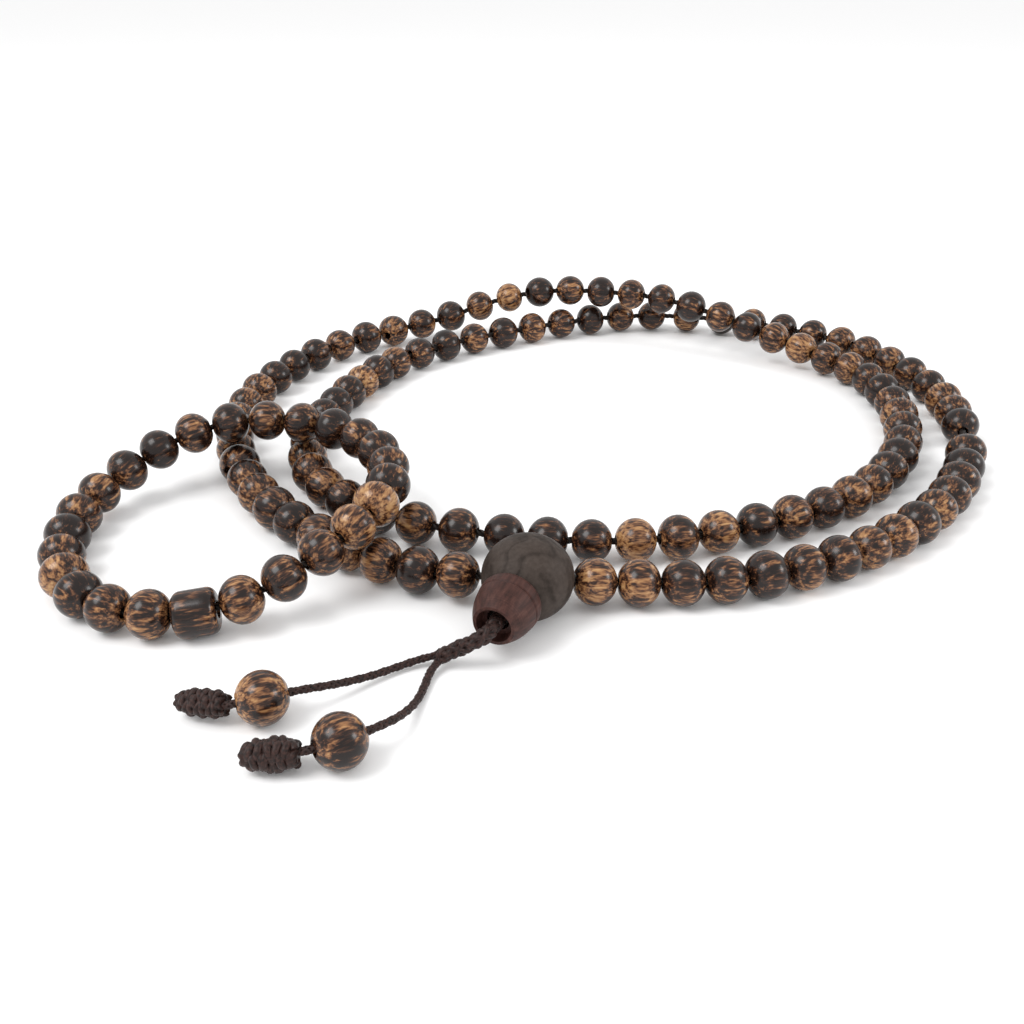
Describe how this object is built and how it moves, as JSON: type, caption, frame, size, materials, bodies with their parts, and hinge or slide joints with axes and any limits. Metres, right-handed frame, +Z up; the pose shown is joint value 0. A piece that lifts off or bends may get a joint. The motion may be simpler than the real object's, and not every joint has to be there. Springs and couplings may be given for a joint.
{
  "type": "mala prayer beads",
  "caption": "Long string of turned wooden prayer beads with guru bead, tower bead and beaded tails, laid in two turns, with a matching wrist string across it.",
  "frame": {"origin": "centre of the footprint of the two strings and the guru bead without the free tails, on the surface it lies on", "axes": "+Z up, -Y the side the two tails lie on, +X to the right seen from that side"},
  "size_m": [0.1928, 0.1963, 0.0172],
  "materials": {
    "bead_wood": "polished turned palm wood, near black with tan streaks along the bore",
    "guru_seed": "matte, finely wrinkled seed",
    "tower_wood": "matte turned wood",
    "strand_cord": "dark waxed cord",
    "tail_cord": "dark brown braided nylon cord"
  },
  "bodies": {
    "strand": {"strand_cord": "strand_cord", "beads_013_027": "bead_wood", "beads_028_040": "bead_wood", "beads_041_053": "bead_wood", "beads_065_077": "bead_wood", "beads_078_090": "bead_wood", "beads_091_104": "bead_wood"},
    "guru_tail": {"guru_bead": "guru_seed", "guru_core_cord": "strand_cord", "tower_knot": "strand_cord", "tail_sinnet": "tail_cord", "tail_cord_a": "tail_cord", "tail_cord_b": "tail_cord", "end_knot_a": "tail_cord", "end_knot_b": "tail_cord"},
    "tower": {"tower_bead": "tower_wood"},
    "tail_a_bead": {"tail_bead_a": "bead_wood"},
    "tail_b_bead": {"tail_bead_b": "bead_wood"},
    "ring": {"ring_cord": "strand_cord", "ring_knot": "strand_cord", "ring_beads_06_13": "bead_wood", "ring_beads_14_20": "bead_wood"},
    "bead_001_turn": {"bead_001": "bead_wood"},
    "bead_002_turn": {"bead_002": "bead_wood"},
    "bead_003_turn": {"bead_003": "bead_wood"},
    "bead_004_turn": {"bead_004": "bead_wood"},
    "bead_005_turn": {"bead_005": "bead_wood"},
    "bead_006_turn": {"bead_006": "bead_wood"},
    "bead_007_turn": {"bead_007": "bead_wood"},
    "bead_008_turn": {"bead_008": "bead_wood"},
    "bead_009_turn": {"bead_009": "bead_wood"},
    "bead_010_turn": {"bead_010": "bead_wood"},
    "bead_011_turn": {"bead_011": "bead_wood"},
    "bead_012_turn": {"bead_012": "bead_wood"},
    "bead_054_turn": {"bead_054": "bead_wood"},
    "bead_055_turn": {"bead_055": "bead_wood"},
    "bead_056_turn": {"bead_056": "bead_wood"},
    "bead_057_turn": {"bead_057": "bead_wood"},
    "bead_058_turn": {"bead_058": "bead_wood"},
    "bead_059_turn": {"bead_059": "bead_wood"},
    "bead_060_turn": {"bead_060": "bead_wood"},
    "bead_061_turn": {"bead_061": "bead_wood"},
    "bead_062_turn": {"bead_062": "bead_wood"},
    "bead_063_turn": {"bead_063": "bead_wood"},
    "bead_064_turn": {"bead_064": "bead_wood"},
    "bead_105_turn": {"bead_105": "bead_wood"},
    "bead_106_turn": {"bead_106": "bead_wood"},
    "bead_107_turn": {"bead_107": "bead_wood"},
    "bead_108_turn": {"bead_108": "bead_wood"},
    "ring_barrel_bead_turn": {"ring_barrel_bead": "bead_wood"},
    "ring_bead_01_turn": {"ring_bead_01": "bead_wood"},
    "ring_bead_02_turn": {"ring_bead_02": "bead_wood"},
    "ring_bead_03_turn": {"ring_bead_03": "bead_wood"},
    "ring_bead_04_turn": {"ring_bead_04": "bead_wood"},
    "ring_bead_05_turn": {"ring_bead_05": "bead_wood"},
    "ring_bead_21_turn": {"ring_bead_21": "bead_wood"},
    "ring_bead_22_turn": {"ring_bead_22": "bead_wood"},
    "ring_bead_23_turn": {"ring_bead_23": "bead_wood"},
    "ring_bead_24_turn": {"ring_bead_24": "bead_wood"}
  },
  "joints": [
    {"name": "guru_swing", "type": "hinge", "parent": "strand", "child": "guru_tail", "pos_m": [-0.00725, -0.06745, 0.0055], "axis": [-0.9941, 0.1088, 0], "range_deg": [0, 60]},
    {"name": "tower_spin", "type": "hinge", "parent": "guru_tail", "child": "tower", "pos_m": [-0.0074, -0.07, 0.0073], "axis": [-0.3789, -0.9239, -0.0523], "continuous": true},
    {"name": "tail_bead_a_slide", "type": "slide", "parent": "guru_tail", "child": "tail_a_bead", "axis": [0.9363, 0.3513, -0.0001], "range_m": [0, 0.0015]},
    {"name": "tail_bead_b_slide", "type": "slide", "parent": "guru_tail", "child": "tail_b_bead", "axis": [0.8762, 0.4817, 0.0165], "range_m": [0, 0.001]},
    {"name": "ring_lift", "type": "slide", "parent": "strand", "child": "ring", "axis": [0, 0, 1], "range_m": [0, 0.04]},
    {"name": "bead_001_spin", "type": "hinge", "parent": "strand", "child": "bead_001_turn", "pos_m": [0.00398, -0.06743, 0.00481], "axis": [0.9787, 0.1513, -0.1388], "continuous": true},
    {"name": "bead_002_spin", "type": "hinge", "parent": "strand", "child": "bead_002_turn", "pos_m": [0.01151, -0.06694, 0.00427], "axis": [0.9999, -0.0131, -0.0106], "continuous": true},
    {"name": "bead_003_spin", "type": "hinge", "parent": "strand", "child": "bead_003_turn", "pos_m": [0.019, -0.06692, 0.00425], "axis": [0.9989, 0.0466, 0], "continuous": true},
    {"name": "bead_004_spin", "type": "hinge", "parent": "strand", "child": "bead_004_turn", "pos_m": [0.02643, -0.06603, 0.00425], "axis": [0.9819, 0.1892, 0], "continuous": true},
    {"name": "bead_005_spin", "type": "hinge", "parent": "strand", "child": "bead_005_turn", "pos_m": [0.03371, -0.06426, 0.00425], "axis": [0.9604, 0.2786, 0], "continuous": true},
    {"name": "bead_006_spin", "type": "hinge", "parent": "strand", "child": "bead_006_turn", "pos_m": [0.0408, -0.06182, 0.00425], "axis": [0.9285, 0.3714, 0], "continuous": true},
    {"name": "bead_007_spin", "type": "hinge", "parent": "strand", "child": "bead_007_turn", "pos_m": [0.04763, -0.05875, 0.00425], "axis": [0.8925, 0.4511, 0], "continuous": true},
    {"name": "bead_008_spin", "type": "hinge", "parent": "strand", "child": "bead_008_turn", "pos_m": [0.05411, -0.05498, 0.00425], "axis": [0.834, 0.5517, 0], "continuous": true},
    {"name": "bead_009_spin", "type": "hinge", "parent": "strand", "child": "bead_009_turn", "pos_m": [0.06019, -0.0506, 0.00425], "axis": [0.7893, 0.614, 0], "continuous": true},
    {"name": "bead_010_spin", "type": "hinge", "parent": "strand", "child": "bead_010_turn", "pos_m": [0.06588, -0.04572, 0.00425], "axis": [0.727, 0.6867, 0], "continuous": true},
    {"name": "bead_011_spin", "type": "hinge", "parent": "strand", "child": "bead_011_turn", "pos_m": [0.07111, -0.04036, 0.00425], "axis": [0.6687, 0.7436, 0], "continuous": true},
    {"name": "bead_012_spin", "type": "hinge", "parent": "strand", "child": "bead_012_turn", "pos_m": [0.07582, -0.03453, 0.00425], "axis": [0.5866, 0.8098, 0], "continuous": true},
    {"name": "bead_054_spin", "type": "hinge", "parent": "strand", "child": "bead_054_turn", "pos_m": [-0.00353, -0.05187, 0.00425], "axis": [0.9916, -0.1294, 0], "continuous": true},
    {"name": "bead_055_spin", "type": "hinge", "parent": "strand", "child": "bead_055_turn", "pos_m": [0.00444, -0.05253, 0.00425], "axis": [0.9996, -0.0267, 0], "continuous": true},
    {"name": "bead_056_spin", "type": "hinge", "parent": "strand", "child": "bead_056_turn", "pos_m": [0.01242, -0.0523, 0.00425], "axis": [0.9968, 0.08, 0], "continuous": true},
    {"name": "bead_057_spin", "type": "hinge", "parent": "strand", "child": "bead_057_turn", "pos_m": [0.02033, -0.05117, 0.00425], "axis": [0.9783, 0.2073, 0], "continuous": true},
    {"name": "bead_058_spin", "type": "hinge", "parent": "strand", "child": "bead_058_turn", "pos_m": [0.02804, -0.04907, 0.00425], "axis": [0.9524, 0.3048, 0], "continuous": true},
    {"name": "bead_059_spin", "type": "hinge", "parent": "strand", "child": "bead_059_turn", "pos_m": [0.03559, -0.04642, 0.00425], "axis": [0.9328, 0.3603, 0], "continuous": true},
    {"name": "bead_060_spin", "type": "hinge", "parent": "strand", "child": "bead_060_turn", "pos_m": [0.04295, -0.0433, 0.00425], "axis": [0.9052, 0.425, 0], "continuous": true},
    {"name": "bead_061_spin", "type": "hinge", "parent": "strand", "child": "bead_061_turn", "pos_m": [0.04997, -0.03949, 0.00425], "axis": [0.8503, 0.5262, 0], "continuous": true},
    {"name": "bead_062_spin", "type": "hinge", "parent": "strand", "child": "bead_062_turn", "pos_m": [0.05652, -0.03491, 0.00425], "axis": [0.7788, 0.6272, 0], "continuous": true},
    {"name": "bead_063_spin", "type": "hinge", "parent": "strand", "child": "bead_063_turn", "pos_m": [0.0623, -0.02941, 0.00425], "axis": [0.6714, 0.7411, 0], "continuous": true},
    {"name": "bead_064_spin", "type": "hinge", "parent": "strand", "child": "bead_064_turn", "pos_m": [0.06733, -0.0232, 0.00425], "axis": [0.5821, 0.8131, 0], "continuous": true},
    {"name": "bead_105_spin", "type": "hinge", "parent": "strand", "child": "bead_105_turn", "pos_m": [-0.03937, -0.05543, 0.00425], "axis": [0.8139, -0.5811, 0], "continuous": true},
    {"name": "bead_106_spin", "type": "hinge", "parent": "strand", "child": "bead_106_turn", "pos_m": [-0.03299, -0.05944, 0.00425], "axis": [0.8755, -0.4832, 0], "continuous": true},
    {"name": "bead_107_spin", "type": "hinge", "parent": "strand", "child": "bead_107_turn", "pos_m": [-0.02625, -0.06281, 0.00434], "axis": [0.9146, -0.4028, 0.0344], "continuous": true},
    {"name": "bead_108_spin", "type": "hinge", "parent": "strand", "child": "bead_108_turn", "pos_m": [-0.01918, -0.06531, 0.0049], "axis": [0.9564, -0.2711, 0.1084], "continuous": true},
    {"name": "ring_barrel_bead_spin", "type": "hinge", "parent": "ring", "child": "ring_barrel_bead_turn", "pos_m": [-0.061, -0.07625, 0.00435], "axis": [-0.9837, -0.1482, -0.1023], "continuous": true},
    {"name": "ring_bead_01_spin", "type": "hinge", "parent": "ring", "child": "ring_bead_01_turn", "pos_m": [-0.06853, -0.07656, 0.00428], "axis": [-0.9991, 0.0414, -0.0082], "continuous": true},
    {"name": "ring_bead_02_spin", "type": "hinge", "parent": "ring", "child": "ring_bead_02_turn", "pos_m": [-0.07574, -0.07471, 0.00425], "axis": [-0.9042, 0.4272, -0.0009], "continuous": true},
    {"name": "ring_bead_03_spin", "type": "hinge", "parent": "ring", "child": "ring_bead_03_turn", "pos_m": [-0.08195, -0.07054, 0.00425], "axis": [-0.7273, 0.6864, 0], "continuous": true},
    {"name": "ring_bead_04_spin", "type": "hinge", "parent": "ring", "child": "ring_bead_04_turn", "pos_m": [-0.08656, -0.06463, 0.00425], "axis": [-0.5067, 0.8621, 0], "continuous": true},
    {"name": "ring_bead_05_spin", "type": "hinge", "parent": "ring", "child": "ring_bead_05_turn", "pos_m": [-0.08961, -0.05775, 0.00425], "axis": [-0.3021, 0.9533, 0.0001], "continuous": true},
    {"name": "ring_bead_21_spin", "type": "hinge", "parent": "ring", "child": "ring_bead_21_turn", "pos_m": [-0.03712, -0.06121, 0.01191], "axis": [-0.5419, -0.822, -0.1753], "continuous": true},
    {"name": "ring_bead_22_spin", "type": "hinge", "parent": "ring", "child": "ring_bead_22_turn", "pos_m": [-0.04176, -0.06688, 0.01023], "axis": [-0.6881, -0.6717, -0.2744], "continuous": true},
    {"name": "ring_bead_23_spin", "type": "hinge", "parent": "ring", "child": "ring_bead_23_turn", "pos_m": [-0.04736, -0.07134, 0.00789], "axis": [-0.7871, -0.523, -0.3271], "continuous": true},
    {"name": "ring_bead_24_spin", "type": "hinge", "parent": "ring", "child": "ring_bead_24_turn", "pos_m": [-0.05382, -0.0745, 0.00576], "axis": [-0.9282, -0.2952, -0.2266], "continuous": true}
  ]
}
